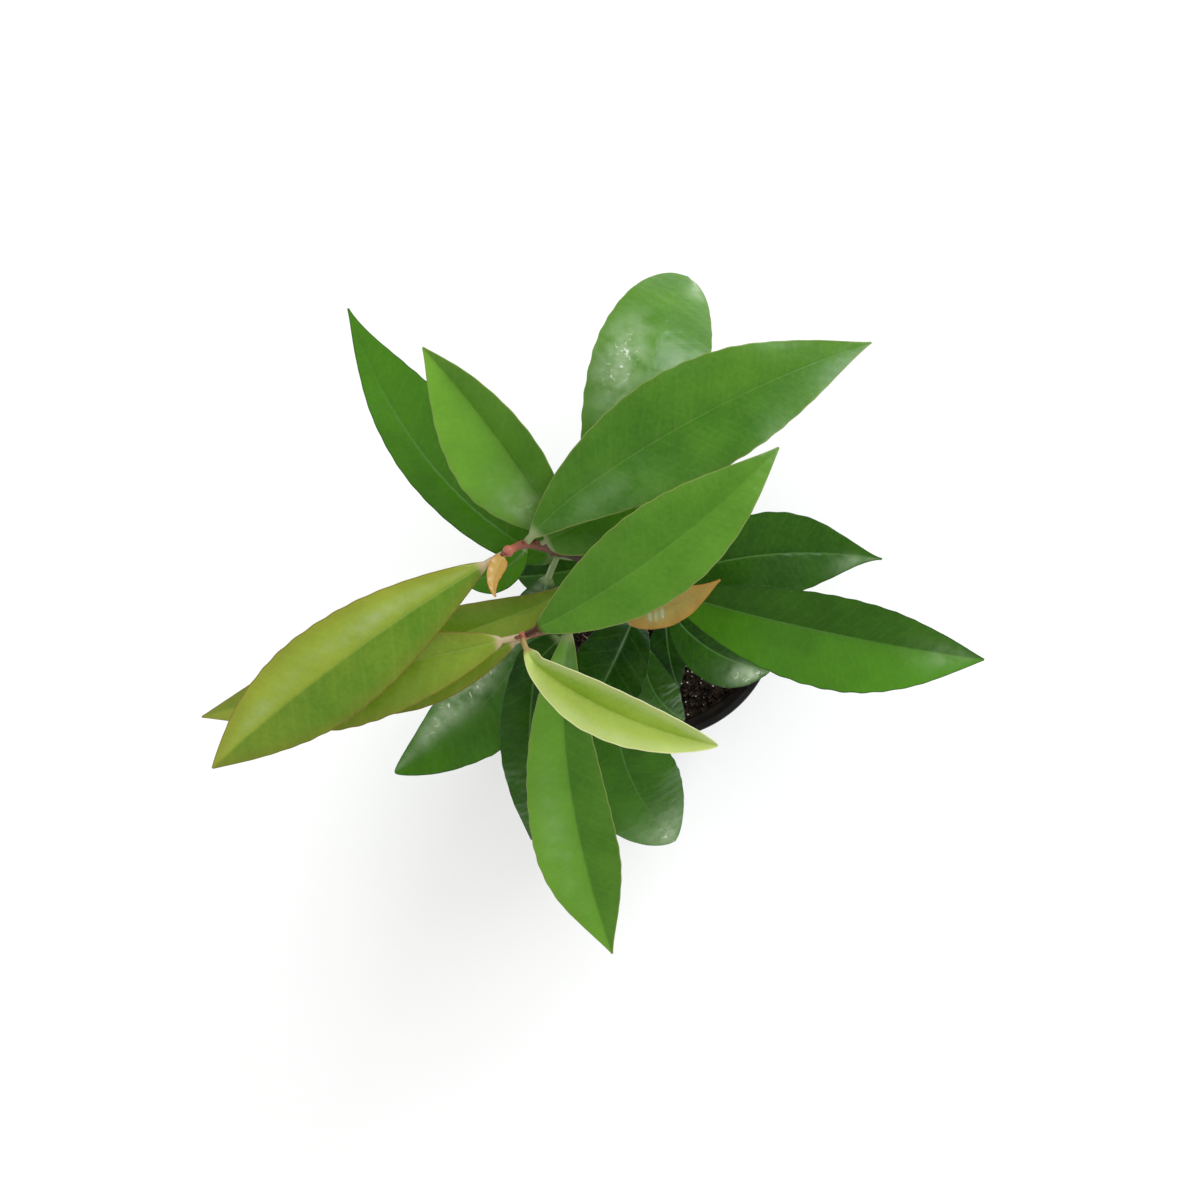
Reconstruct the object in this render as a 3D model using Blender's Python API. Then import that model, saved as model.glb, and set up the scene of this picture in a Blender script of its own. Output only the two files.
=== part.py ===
"""Potted ardisia: three leaning leafy shoots in soil, in a round nursery pot.

The origin is the middle of the pot's underside and +Z is up. Seen from above, +Y points up the picture.
Sizes and places below are real ones in millimetres, and a mesh is scaled to metres when it is made.
"""

import math
from collections import namedtuple

import bpy
import numpy as np

METRES_PER_MM = 0.001
UP = np.array([0.0, 0.0, 1.0])

# Gap that touching pieces keep
SEAT_GAP = 0.3

# Pot: a turned shell with a rolled rim band, a tapered wall and a flat floor with drain holes
POT_HEIGHT = 95.0
POT_RIM_RADIUS = 54.0
POT_BASE_RADIUS = 37.5
POT_WALL = 1.4
POT_FLOOR = 1.6
POT_RIM_BAND = 13.0
POT_RIM_STEP = 1.8
POT_RIM_ROLL = 1.2
POT_FOOT_CHAMFER = 2.0
POT_SIDES = 48
DRAIN_HOLES = 8
DRAIN_RADIUS = 4.0
DRAIN_CIRCLE = 28.0

# Soil: fills the pot to a little under the rim, with crumbs on top and a plain hole for each stem
SOIL_LEVEL = 80.0
SOIL_CRUMB = 1.1
SOIL_RINGS = 9
SOIL_SIDES = 48
STEM_HOLE_DEPTH = 24.0
STEM_HOLE_GAP = 0.5
STEM_HOLE_SIDES = 16

# Stems: the middle line of each shoot from the soil to its bud, its radius at both ends, and the bud's size
Stem = namedtuple("Stem", "path base_radius top_radius bud_radius bud_length colour")
STEMS = {
    "a": Stem([(-4, 5, 80), (-12, 10, 150), (-21, 17, 195), (-31.5, 23, 222), (-41, 25.5, 237),
               (-50.5, 27.5, 250), (-58, 24, 262)], 2.3, 1.5, 2.0, 5.0, "bark"),
    "b": Stem([(0, -5, 80), (-3, 1, 120), (-8, 6, 160), (-17, 6, 195), (-28, 2, 220),
               (-39, -2.5, 238), (-53, -5.5, 256)], 2.1, 1.1, 1.5, 4.0, "bark"),
    "c": Stem([(7, 3, 80), (2, 9.5, 130), (-4.5, 13.5, 170), (-10, 11, 195), (-17.5, 1, 209)],
              2.0, 1.2, 1.5, 4.0, "green_bark"),
}
STEM_SIDES = 8
STEM_STATIONS = 20

# Leaves: foot is the height on the stem where the stalk leaves it. Middle and tip are points of the midrib.
# Width is measured across the flat blade, left_share is the part of it left of the midrib, seen from the
# foot, and widest is the place of the widest part, from 0 at the blade's foot to 1 at its tip. The blade's
# foot gets rounder as full falls, and its tip longer as point rises. Fold lifts both halves from the midrib,
# roll lifts the left one more, and curl bends them on towards the edge, all in degrees. Wave is the height
# of the waves. Aim is where the blade would start if its stalk didn't bend back to the stem.
Leaf = namedtuple("Leaf", "stem foot middle tip width stalk colour "
                          "widest full point left_share fold roll curl wave aim", defaults=(None,))
LEAVES = {
    "a1": Leaf("a", 260, (-111, -11, 266), (-164, -53, 243), 33, 8, "lime",
               0.53, 0.95, 1.0, 0.521, 14, -12, -10, 0.5),
    "a2": Leaf("a", 261, (-61.2, 15.5, 269), (-60.3, 8.6, 274), 5.4, 2, "bronze",
               0.3, 0.5, 1.2, 0.5, 20, 0, 0, 0.3),
    "a3": Leaf("a", 227, (-59, 62, 252), (-88, 98, 246), 32.2, 7, "green",
               0.45, 1.15, 1.1, 0.609, 26, -17, -8, 0.5),
    "a4": Leaf("a", 251, (5.5, 69, 263), (73, 100, 244), 40.5, 3, "green",
               0.48, 0.95, 1.15, 0.465, 18, -12, -8, 0.6, (-51.5, 30.5, 252)),
    "a5": Leaf("a", 224, (-85, 55.8, 234), (-120, 118, 208), 29.6, 8, "deep",
               0.42, 0.42, 1.3, 0.325, 14, 0, -6, 0.5, (-37, 19.5, 224.5)),
    "a6": Leaf("a", 234, (-62, -23.5, 185.5), (-107, -62, 166), 35.5, 13, "deep",
               0.525, 0.8, 0.8, 0.53, 12, 6, -6, 1.2, (-44, 24, 233)),
    "a7": Leaf("a", 249, (-59.5, 19, 238), (-74, 14, 231), 11.5, 2, "deep",
               0.6, 0.7, 0.8, 0.585, 10, 0, -6, 0.4),
    "a8": Leaf("a", 245, (-15, 42.5, 245), (17, 58, 228), 23, 2, "green",
               0.45, 0.45, 1.0, 0.42, 10, 0, -6, 0.5),
    "a9": Leaf("a", 218, (-102, -14, 236), (-176, -37, 205), 28, 10, "lime",
               0.5, 1.0, 1.1, 0.57, 12, 0, -6, 0.6, (-18, 16, 219)),
    "a10": Leaf("a", 212, (-43, 17.5, 205), (-56, 16.5, 199), 17, 2, "deep",
               0.5, 0.5, 0.8, 0.5, 8, 0, -6, 0.3),
    "b1": Leaf("b", 254, (-4, 23.5, 277), (37, 60, 272), 31, 5, "green",
               0.49, 0.9, 1.1, 0.52, 10, 0, -8, 0.5),
    "b2": Leaf("b", 254.9, (-24.5, -29.5, 260), (17.5, -44.3, 250), 23.5, 4, "young",
               0.45, 0.95, 0.8, 0.58, 34, 24, -6, 1.0, (-55, -8, 255)),
    "b3": Leaf("b", 254, (-104, -18, 253), (-156, -34, 230), 30, 7, "lime",
               0.55, 0.8, 1.0, 0.54, 18, -12, -6, 0.5),
    "b4": Leaf("b", 250, (-85, -21, 243), (-118, -34, 238), 18, 7, "lime",
               0.5, 0.8, 1.0, 0.45, 10, 0, -6, 0.4),
    "b5": Leaf("b", 232, (-36.5, -57, 218), (-19.7, -130.5, 187.5), 31.4, 3, "green",
               0.62, 0.85, 1.15, 0.46, 18, 8, -8, 0.6),
    "b6": Leaf("b", 215, (-51, -38, 208), (-52, -89, 165), 18.5, 16, "deep",
               0.42, 0.5, 1.05, 0.43, 10, 0, -6, 0.5, (-46, -8, 218)),
    "b7": Leaf("b", 163, (-18.9, -17.2, 172), (-34.7, -48.8, 155), 29, 4, "deep",
               0.5, 0.7, 1.0, 0.49, 10, 0, -6, 0.5),
    "b8": Leaf("b", 135, (-4, -26, 132), (12, -44, 112), 24, 15, "deep",
               0.48, 0.6, 0.85, 0.38, 10, 0, -6, 0.4),
    "b9": Leaf("b", 152, (-17, -48, 150), (8, -96.5, 112), 39, 8, "deep",
               0.68, 1.6, 0.6, 0.5, -4, 0, -12, 0.5),
    "c1": Leaf("c", 207.8, (2, 5.5, 217), (20, 15, 224), 13.5, 1, "bronze",
               0.43, 0.45, 1.4, 0.47, 22, 0, 0, 0.5),
    "c2": Leaf("c", 178, (54, -3, 196), (127, -16, 180), 36.8, 9, "deep",
               0.52, 0.85, 1.05, 0.43, 22, 12, -6, 0.6),
    "c3": Leaf("c", 170, (38, 25, 180), (89, 24, 165), 32, 9, "deep",
               0.46, 0.8, 1.5, 0.5, 10, 0, -6, 0.5),
    "c4": Leaf("c", 160, (-9, 75, 208), (10.5, 136.5, 172), 44, 10, "green",
               0.62, 0.4, 0.42, 0.51, -4, 0, -8, 0.6),
    "c5": Leaf("c", 125, (20, -12, 128), (49, -23, 112), 24, 7, "deep",
               0.52, 0.75, 0.9, 0.5, 8, 0, -6, 0.5),
    "c6": Leaf("c", 106, (5, -14, 112), (10, -31, 103), 15, 5, "deep",
               0.5, 1.1, 1.0, 0.4, 10, 0, -6, 0.3),
}
BLADE_HALF_THICKNESS = 0.4
STALK_RADIUS = 0.35
STALK_RADIUS_PER_WIDTH = 0.024
RIB_DEPTH = 0.5
TIP_HALF_WIDTH = 0.3
STALK_EDGE = 0.96
WAVES_PER_LEAF = 4.5
STALK_BEND = 0.2
STALK_STATIONS = 3
BLADE_STATIONS = 12
BLADE_COLUMNS = (-1.0, -0.66, -0.3, 0.0, 0.3, 0.66, 1.0)

# Colours, roughness and metallic value of each finish
FINISHES = {
    "black_plastic": ((0.012, 0.012, 0.013), 0.45, 0.0),
    "peat": ((0.030, 0.016, 0.008), 0.95, 0.0),
    "bark": ((0.090, 0.030, 0.016), 0.55, 0.0),
    "green_bark": ((0.050, 0.085, 0.020), 0.55, 0.0),
    "lime": ((0.230, 0.330, 0.040), 0.38, 0.0),
    "green": ((0.085, 0.240, 0.020), 0.38, 0.0),
    "deep": ((0.022, 0.105, 0.010), 0.35, 0.0),
    "young": ((0.420, 0.580, 0.110), 0.42, 0.0),
    "bronze": ((0.480, 0.320, 0.070), 0.40, 0.0),
}


def clear_scene():
    for old in list(bpy.data.objects):
        bpy.data.objects.remove(old, do_unlink=True)


def finish(name):
    """One Principled material for a finish."""
    material = bpy.data.materials.get(name)
    if material is None:
        colour, roughness, metallic = FINISHES[name]
        material = bpy.data.materials.new(name)
        material.use_nodes = True
        shader = material.node_tree.nodes["Principled BSDF"]
        shader.inputs["Base Color"].default_value = (*colour, 1.0)
        shader.inputs["Roughness"].default_value = roughness
        shader.inputs["Metallic"].default_value = metallic
    return material


def add_piece(name, points, faces, finish_name):
    """An object from points in millimetres and faces that point outwards."""
    mesh = bpy.data.meshes.new(name)
    mesh.from_pydata((np.asarray(points) * METRES_PER_MM).tolist(), [], [list(face) for face in faces])
    mesh.materials.append(finish(finish_name))
    mesh.shade_smooth()
    mesh.set_sharp_from_angle(angle=math.radians(40.0))
    piece = bpy.data.objects.new(name, mesh)
    bpy.context.scene.collection.objects.link(piece)
    return piece


def apply_cut(piece, cutters):
    """Cuts the closed cutter objects out of a piece, and removes them."""
    for cutter in cutters:
        cut = piece.modifiers.new("cut", "BOOLEAN")
        cut.operation = "DIFFERENCE"
        cut.solver = "EXACT"
        cut.object = cutter
    evaluated = piece.evaluated_get(bpy.context.evaluated_depsgraph_get())
    mesh = bpy.data.meshes.new_from_object(evaluated)
    piece.modifiers.clear()
    piece.data = mesh
    for cutter in cutters:
        bpy.data.objects.remove(cutter, do_unlink=True)


def add_rod(name, foot, height, radius, sides, finish_name):
    """A plain upright rod, as a cutter for round holes."""
    turn = np.arange(sides) * 2 * math.pi / sides
    ring = np.stack([foot[0] + radius * np.cos(turn), foot[1] + radius * np.sin(turn)], axis=1)
    low = np.column_stack([ring, np.full(sides, foot[2])])
    high = np.column_stack([ring, np.full(sides, foot[2] + height)])
    faces = [(k, (k + 1) % sides, sides + (k + 1) % sides, sides + k) for k in range(sides)]
    faces.append(tuple(reversed(range(sides))))
    faces.append(tuple(range(sides, 2 * sides)))
    return add_piece(name, np.vstack([low, high]), faces, finish_name)


def unit(vectors):
    return vectors / np.linalg.norm(vectors, axis=-1, keepdims=True)


def turned(profile, sides):
    """A closed profile of (radius, height) points, run round the pot's axis. A radius of 0 is one pole."""
    points = []
    rings = []
    turn = np.arange(sides) * 2 * math.pi / sides
    for radius, height in profile:
        if radius == 0:
            rings.append([len(points)] * sides)
            points.append((0.0, 0.0, height))
        else:
            rings.append(list(range(len(points), len(points) + sides)))
            points.extend(zip(radius * np.cos(turn), radius * np.sin(turn), np.full(sides, height)))
    faces = []
    for low, high in zip(rings, rings[1:] + rings[:1]):
        for k in range(sides):
            corners = [low[k], low[(k + 1) % sides], high[(k + 1) % sides], high[k]]
            corners = [c for i, c in enumerate(corners) if c != corners[i - 1]]
            if len(corners) > 2:
                faces.append(tuple(corners))
    return points, faces


def pot_wall_radius(height, inset):
    """Radius of the tapered wall's outer face at a height, less an inset."""
    top = POT_RIM_RADIUS - POT_RIM_STEP
    return POT_BASE_RADIUS + (top - POT_BASE_RADIUS) * height / POT_HEIGHT - inset


def add_pot():
    """The shell's profile runs up the outside, over the rim and down the inside to the floor's middle."""
    band_foot = POT_HEIGHT - POT_RIM_BAND
    profile = [
        (0, 0),
        (POT_BASE_RADIUS - POT_FOOT_CHAMFER, 0),
        (pot_wall_radius(POT_FOOT_CHAMFER, 0), POT_FOOT_CHAMFER),
        (pot_wall_radius(band_foot, 0), band_foot),
        (POT_RIM_RADIUS - POT_RIM_ROLL, band_foot),
        (POT_RIM_RADIUS, band_foot + POT_RIM_ROLL),
        (POT_RIM_RADIUS, POT_HEIGHT - POT_RIM_ROLL),
        (POT_RIM_RADIUS - POT_RIM_ROLL / 2, POT_HEIGHT),
        (pot_wall_radius(POT_HEIGHT, POT_WALL) + POT_RIM_ROLL / 2, POT_HEIGHT),
        (pot_wall_radius(POT_HEIGHT, POT_WALL), POT_HEIGHT - POT_RIM_ROLL),
        (pot_wall_radius(POT_FLOOR, POT_WALL + 1.0), POT_FLOOR + 1.0),
        (pot_wall_radius(POT_FLOOR, POT_WALL + 2.5), POT_FLOOR),
        (0, POT_FLOOR),
    ]
    points, faces = turned(profile, POT_SIDES)
    pot = add_piece("pot", points, faces, "black_plastic")
    holes = []
    for k in range(DRAIN_HOLES):
        turn = 2 * math.pi * (k + 0.5) / DRAIN_HOLES
        foot = (DRAIN_CIRCLE * math.cos(turn), DRAIN_CIRCLE * math.sin(turn), -2.0)
        holes.append(add_rod(f"drain_{k}", foot, POT_FLOOR + 4.0, DRAIN_RADIUS, 12, "black_plastic"))
    apply_cut(pot, holes)


def soil_relief(x, y):
    """Height of the crumbs: three crossed sine waves of different lengths."""
    coarse = np.sin(0.23 * x + 0.9) * np.cos(0.19 * y - 0.4)
    middle = np.sin(0.51 * x - 0.37 * y + 1.3)
    fine = np.cos(0.83 * x + 0.71 * y) * np.sin(0.64 * y - 0.92 * x)
    return SOIL_CRUMB * (0.9 * coarse + 0.6 * middle + 0.5 * fine)


def add_soil():
    """One body: a crumbly top of rings round the middle, and a side that follows the pot's inner wall."""
    turn = np.arange(SOIL_SIDES) * 2 * math.pi / SOIL_SIDES
    edge = pot_wall_radius(SOIL_LEVEL, POT_WALL + SEAT_GAP + 0.2)
    floor = POT_FLOOR + SEAT_GAP
    foot_edge = pot_wall_radius(POT_FLOOR, POT_WALL + 2.5 + SEAT_GAP)
    points = [(0.0, 0.0, SOIL_LEVEL)]
    for k in range(1, SOIL_RINGS + 1):
        radius = edge * k / SOIL_RINGS
        x, y = radius * np.cos(turn), radius * np.sin(turn)
        fade = 1.0 - (k / SOIL_RINGS) ** 6
        points.extend(zip(x, y, SOIL_LEVEL + fade * soil_relief(x, y)))
    points.extend(zip(foot_edge * np.cos(turn), foot_edge * np.sin(turn), np.full(SOIL_SIDES, floor)))
    points.append((0.0, 0.0, floor))
    faces = []
    for k in range(SOIL_SIDES):
        following = (k + 1) % SOIL_SIDES
        faces.append((0, 1 + k, 1 + following))
        for ring in range(SOIL_RINGS):
            start = 1 + ring * SOIL_SIDES
            below = start + SOIL_SIDES
            faces.append((start + k, below + k, start + following))
            faces.append((start + following, below + k, below + following))
        last = 1 + SOIL_RINGS * SOIL_SIDES
        faces.append((last + following, last + k, len(points) - 1))
    soil = add_piece("soil", points, faces, "peat")
    holes = []
    for name, stem in STEMS.items():
        x, y, top = stem.path[0]
        foot = (x, y, top - STEM_HOLE_DEPTH)
        radius = stem.base_radius + STEM_HOLE_GAP
        holes.append(add_rod(f"hole_{name}", foot, STEM_HOLE_DEPTH + 8.0, radius, STEM_HOLE_SIDES, "peat"))
    apply_cut(soil, holes)


def smooth_path(points, count):
    """Evenly spaced points on a Catmull-Rom curve through the given ones."""
    points = np.asarray(points, dtype=float)
    ends = np.vstack([2 * points[0] - points[1], points, 2 * points[-1] - points[-2]])
    t = np.linspace(0.0, 1.0, 24, endpoint=False)[:, None]
    spans = []
    for p0, p1, p2, p3 in zip(ends, ends[1:], ends[2:], ends[3:]):
        spans.append(0.5 * (2 * p1 + (p2 - p0) * t + (2 * p0 - 5 * p1 + 4 * p2 - p3) * t ** 2
                            + (3 * p1 - p0 - 3 * p2 + p3) * t ** 3))
    dense = np.vstack(spans + [points[-1:]])
    return evenly_spaced(dense, np.linspace(0.0, 1.0, count))


def evenly_spaced(dense, shares):
    """Points of a dense polyline at the given shares of its length."""
    length = np.concatenate([[0.0], np.cumsum(np.linalg.norm(np.diff(dense, axis=0), axis=1))])
    return np.stack([np.interp(shares * length[-1], length, dense[:, axis]) for axis in range(3)], axis=1)


def stem_line(stem):
    """Dense middle line and radius of a stem, which thins evenly, then swells and closes in a bud."""
    buried = np.array([stem.path[0]], dtype=float) - UP * (STEM_HOLE_DEPTH - SEAT_GAP)
    line = smooth_path(stem.path, 200)
    share = np.linspace(0.0, 1.0, 200)
    radius = stem.base_radius + (stem.top_radius - stem.base_radius) * share
    length = np.concatenate([[0.0], np.cumsum(np.linalg.norm(np.diff(line, axis=0), axis=1))])
    from_end = (length[-1] - length) / stem.bud_length
    bud = np.clip(1.0 - from_end, 0.0, 1.0)
    radius = radius + (stem.bud_radius - stem.top_radius) * np.sin(math.pi * bud) ** 2
    radius = radius * np.sqrt(np.clip(from_end / 0.45, 0.03, 1.0))
    return np.vstack([buried, line]), np.concatenate([[stem.base_radius], radius])


def add_stem(name, stem):
    """A round tube along the stem's line, upright in its hole and closed at both ends."""
    dense, dense_radius = stem_line(stem)
    length = np.concatenate([[0.0], np.cumsum(np.linalg.norm(np.diff(dense, axis=0), axis=1))])
    bud_from = 1.0 - 1.2 * stem.bud_length / length[-1]
    buried_to = (STEM_HOLE_DEPTH - SEAT_GAP) / length[-1]
    shares = np.concatenate([[0.0], np.linspace(buried_to, bud_from, STEM_STATIONS),
                             bud_from + (1.0 - bud_from) * np.array([0.3, 0.5, 0.7, 0.85, 0.95, 1.0])])
    line = evenly_spaced(dense, shares)
    radius = np.interp(shares * length[-1], length, dense_radius)
    along = unit(np.gradient(line, axis=0))
    along[0] = UP
    side = unit(np.cross(along, [0.0, 1.0, 0.0]))
    across = np.cross(along, side)
    turn = np.arange(STEM_SIDES) * 2 * math.pi / STEM_SIDES
    rings = (line[:, None] + radius[:, None, None] * (np.cos(turn)[None, :, None] * side[:, None]
                                                      + np.sin(turn)[None, :, None] * across[:, None]))
    points = rings.reshape(-1, 3)
    faces = []
    for ring in range(len(line) - 1):
        for k in range(STEM_SIDES):
            a, b = ring * STEM_SIDES + k, ring * STEM_SIDES + (k + 1) % STEM_SIDES
            faces.append((a, b, b + STEM_SIDES, a + STEM_SIDES))
    faces.append(tuple(reversed(range(STEM_SIDES))))
    faces.append(tuple(range(len(points) - STEM_SIDES, len(points))))
    add_piece(f"stem_{name}", points, faces, stem.colour)


def stem_at(stem, height):
    """Middle, direction and radius of a stem at a height."""
    line, radius = stem_line(stem)
    middle = np.array([np.interp(height, line[:, 2], line[:, axis]) for axis in range(3)])
    along = np.array([np.interp(height, line[:, 2], np.gradient(line[:, axis])) for axis in range(3)])
    return middle, unit(along), float(np.interp(height, line[:, 2], radius))


def midrib(leaf, stalk_radius, shares):
    """The midrib's points, and its length.

    It is a parabola from the aim, or from the stem, through the middle point to the tip. Its first stretch
    bends back to the foot on the stem's surface, by the square of what is left of that stretch.
    """
    root, along, stem_radius = stem_at(STEMS[leaf.stem], leaf.foot)
    aim = root if leaf.aim is None else np.array(leaf.aim, dtype=float)
    middle, tip = np.array(leaf.middle, dtype=float), np.array(leaf.tip, dtype=float)
    control = 2 * middle - 0.5 * (aim + tip)
    heading = unit((control - aim) - (root - aim) / STALK_BEND)
    outward = unit(heading - along * heading.dot(along))
    lean = math.sqrt(max(0.0, 1.0 - heading.dot(outward) ** 2))
    foot = root + outward * (stem_radius + SEAT_GAP + stalk_radius * lean)
    t = np.linspace(0.0, 1.0, 240)[:, None]
    dense = aim * (1 - t) ** 2 + 2 * control * t * (1 - t) + tip * t ** 2
    dense += (foot - aim) * np.clip(1 - t / STALK_BEND, 0.0, 1.0) ** 2
    span = np.linalg.norm(np.diff(dense, axis=0), axis=1).sum()
    return evenly_spaced(dense, shares(span)), span


def leaf_surface(leaf, stalk_stations, blade_stations, columns):
    """Upper and lower faces of a leaf, each a grid of points from foot to tip and from right to left edge.

    Each section is laid across the midrib. In the stalk it is round. In the blade its half width rises as a
    sine from the foot to the widest place and falls as a sine from there to the tip, each raised to a power
    of its own. Each half leaves the midrib at its fold angle and bends on by the curl, and its edge waves.
    """
    stalk_radius = STALK_RADIUS + STALK_RADIUS_PER_WIDTH * leaf.width
    even = np.linspace(0.0, 1.0, blade_stations + 1)
    blade_share = 0.45 * even + 0.55 * (1 - np.cos(math.pi * even)) / 2

    def shares(span):
        stalk_end = leaf.stalk / span
        stalk = np.linspace(0.0, stalk_end, stalk_stations, endpoint=False)
        return np.concatenate([stalk, stalk_end + (1 - stalk_end) * blade_share])

    line, span = midrib(leaf, stalk_radius, shares)
    along = unit(np.gradient(line, axis=0))
    side = unit(np.cross(UP, along))
    top = np.cross(along, side)

    s = np.concatenate([np.zeros(stalk_stations), blade_share])[:, None]
    u = np.asarray(columns)[None, :]
    rising = np.clip(s / leaf.widest, 0.0, 1.0)
    falling = np.clip((1 - s) / (1 - leaf.widest), 0.0, 1.0)
    outline = np.sin(math.pi / 2 * rising) ** leaf.full * np.sin(math.pi / 2 * falling) ** leaf.point
    share = np.where(u > 0, leaf.left_share, 1 - leaf.left_share)
    half = stalk_radius * (1 - s) + TIP_HALF_WIDTH * s + leaf.width * share * outline
    reach = np.abs(u) * half

    spread = np.clip(s / 0.10, 0.0, 1.0)
    spread = spread * spread * (3 - 2 * spread)
    hand = np.where(u < 0, -1.0, 1.0)
    bend = np.radians(leaf.fold + hand * leaf.roll + 0.5 * leaf.curl * np.abs(u)) * spread
    wave = leaf.wave * u ** 2 * np.sin(2 * math.pi * WAVES_PER_LEAF * s + 1.7 * hand) * np.sin(math.pi * s)
    out = hand * reach * np.cos(bend)
    rise = reach * np.sin(bend) + wave

    slope = np.where(u == 0, 0.0, np.radians(leaf.fold + hand * leaf.roll + leaf.curl * np.abs(u)) * spread)
    roundness = np.sqrt(1 - (STALK_EDGE * u) ** 2)
    upper = (1 - spread) * stalk_radius * roundness + spread * BLADE_HALF_THICKNESS
    rib = RIB_DEPTH * (1 - s) * np.where(u == 0, 1.0, 0.0)
    lower = upper + spread * rib

    def face(offset):
        sideways = out - hand * offset * np.sin(slope)
        lift = rise + offset * np.cos(slope)
        return line[:, None] + sideways[..., None] * side[:, None] + lift[..., None] * top[:, None]

    return face(upper), face(-lower)


def add_leaf(name, leaf):
    """A closed solid between the two faces, split into triangles alike on both."""
    upper, lower = leaf_surface(leaf, STALK_STATIONS, BLADE_STATIONS, BLADE_COLUMNS)
    rows, columns = upper.shape[:2]
    points = np.vstack([upper.reshape(-1, 3), lower.reshape(-1, 3)])
    under = rows * columns
    faces = []
    for row in range(rows - 1):
        for column in range(columns - 1):
            a = row * columns + column
            b, c, d = a + 1, a + columns + 1, a + columns
            faces.extend([(a, d, c), (a, c, b)])
            faces.extend([(under + a, under + c, under + d), (under + a, under + b, under + c)])
    for row in range(rows - 1):
        a, d = row * columns, (row + 1) * columns
        faces.extend([(a, under + a, under + d), (a, under + d, d)])
        b, c = a + columns - 1, d + columns - 1
        faces.extend([(b, under + c, under + b), (b, c, under + c)])
    first = list(range(columns))
    last = [under - columns + k for k in range(columns)]
    faces.append(tuple(first + [under + k for k in reversed(first)]))
    faces.append(tuple(list(reversed(last)) + [under + k for k in last]))
    add_piece(f"leaf_{name}", points, faces, leaf.colour)


def main():
    clear_scene()
    add_pot()
    add_soil()
    for name, stem in STEMS.items():
        add_stem(name, stem)
    for name, leaf in LEAVES.items():
        add_leaf(name, leaf)


main()
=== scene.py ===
"""Looks of the potted ardisia: waxy leaves, barky stems, crumbly peat and a black moulded pot.

Shapes are worked out in millimetres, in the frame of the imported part, and turned to metres when a mesh is made.
"""

import math
from collections import namedtuple

import bpy
import numpy as np
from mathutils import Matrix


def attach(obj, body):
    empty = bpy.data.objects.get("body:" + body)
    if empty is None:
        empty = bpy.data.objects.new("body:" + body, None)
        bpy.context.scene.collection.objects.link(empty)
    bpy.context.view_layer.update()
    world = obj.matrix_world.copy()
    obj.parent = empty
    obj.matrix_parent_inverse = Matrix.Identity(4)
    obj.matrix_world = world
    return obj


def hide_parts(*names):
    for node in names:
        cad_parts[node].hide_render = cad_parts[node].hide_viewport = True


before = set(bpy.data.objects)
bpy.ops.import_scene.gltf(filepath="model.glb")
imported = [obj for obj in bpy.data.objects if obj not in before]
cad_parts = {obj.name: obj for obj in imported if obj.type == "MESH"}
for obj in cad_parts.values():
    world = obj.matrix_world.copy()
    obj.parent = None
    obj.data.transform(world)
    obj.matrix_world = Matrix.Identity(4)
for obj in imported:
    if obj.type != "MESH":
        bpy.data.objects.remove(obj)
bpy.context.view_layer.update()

MM = 0.001
UP = np.array([0.0, 0.0, 1.0])
SEED = 7

# Camera: straight above the plant, at the height that gives the picture's perspective
CAMERA_PLACE = (-24.5, 7.5, 900.0)
CAMERA_LENS = 54.75
CAMERA_SENSOR = 36.0
SURROUND = 0.98
WINDOW_POWER = 22.0

# Pot, the same sizes as the solid's
POT_HEIGHT = 95.0
POT_RIM_RADIUS = 54.0
POT_BASE_RADIUS = 37.5
POT_WALL = 1.4
POT_FLOOR = 1.6
POT_RIM_BAND = 13.0
POT_RIM_STEP = 1.8
POT_FOOT_ROUND = 2.0
POT_RIM_ROUND = 0.6
POT_SIDES = 180
DRAIN_HOLES = 8
DRAIN_RADIUS = 4.0
DRAIN_CIRCLE = 28.0

# Peat, its crumbs, its white grains and its rootlets
SOIL_LEVEL = 80.0
SOIL_CRUMB = 1.1
SOIL_RINGS = 110
SOIL_SIDES = 260
SEAT_GAP = 0.3
STEM_HOLE_DEPTH = 24.0
CRUMBS = 900
CHIPS = 60
GRAINS = 420
ROOTLETS = 14

# Stems, the same lines as the solids'
Stem = namedtuple("Stem", "path base_radius top_radius bud_radius bud_length skin slot")
STEMS = {
    "a": Stem([(-4, 5, 80), (-12, 10, 150), (-21, 17, 195), (-31.5, 23, 222), (-41, 25.5, 237),
               (-50.5, 27.5, 250), (-58, 24, 262)], 2.3, 1.5, 2.0, 5.0, "bark", "bark"),
    "b": Stem([(0, -5, 80), (-3, 1, 120), (-8, 6, 160), (-17, 6, 195), (-28, 2, 220),
               (-39, -2.5, 238), (-53, -5.5, 256)], 2.1, 1.1, 1.5, 4.0, "bark", "bark"),
    "c": Stem([(7, 3, 80), (2, 9.5, 130), (-4.5, 13.5, 170), (-10, 11, 195), (-17.5, 1, 209)],
              2.0, 1.2, 1.5, 4.0, "green_bark", "green_bark"),
}
STEM_SIDES = 28
STEM_STATIONS = 260
SCAR_SPACING = 9.5
SCAR_HEIGHT = 0.22
SCAR_HALF_LENGTH = 0.8

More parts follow.
